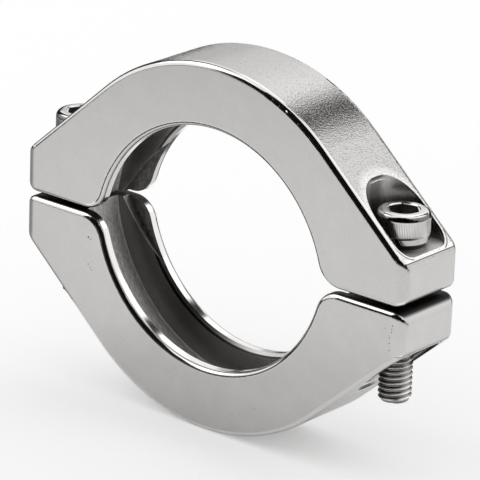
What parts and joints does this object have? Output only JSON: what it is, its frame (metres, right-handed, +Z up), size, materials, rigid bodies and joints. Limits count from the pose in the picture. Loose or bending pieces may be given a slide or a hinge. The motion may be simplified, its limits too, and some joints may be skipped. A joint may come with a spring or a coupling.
{
  "type": "vacuum flange clamp",
  "caption": "Split ring clamp, closed by cap screws in its end lugs, whose inner V-groove squeezes round vacuum flanges together.",
  "frame": {"origin": "centre of the bore, half-way between the two split faces and between the front and back faces", "axes": "+X towards the right-hand lug, +Y from the front face to the back face along the bore, +Z up along the screws towards their heads"},
  "size_m": [0.0886, 0.0156, 0.0688],
  "materials": {
    "cast_steel": "satin tumbled cast stainless steel with polished edges",
    "screw_steel": "bright rolled stainless steel",
    "washer_steel": "bright stainless spring steel"
  },
  "bodies": {
    "lower_half": {"lower_half": "cast_steel"},
    "upper_half": {"upper_half": "cast_steel", "left_lock_washer": "washer_steel", "right_lock_washer": "washer_steel"},
    "left_screw": {"left_screw": "screw_steel"},
    "right_screw": {"right_screw": "screw_steel"}
  },
  "joints": [
    {"name": "clamp_opening", "type": "slide", "parent": "lower_half", "child": "upper_half", "axis": [0, 0, 1], "range_m": [-0.0008, 0.015]},
    {"name": "left_screw_turn", "type": "hinge", "parent": "upper_half", "child": "left_screw", "pos_m": [-0.0374, 0, 0], "axis": [0, 0, 1], "range_deg": [-300, 5420]},
    {"name": "right_screw_turn", "type": "hinge", "parent": "upper_half", "child": "right_screw", "pos_m": [0.0374, 0, 0], "axis": [0, 0, 1], "range_deg": [-300, 5420]}
  ],
  "couplings": [
    {"joint": "left_screw_turn", "follows": "clamp_opening", "rad_per_m": 6283.2},
    {"joint": "right_screw_turn", "follows": "clamp_opening", "rad_per_m": 6283.2}
  ]
}
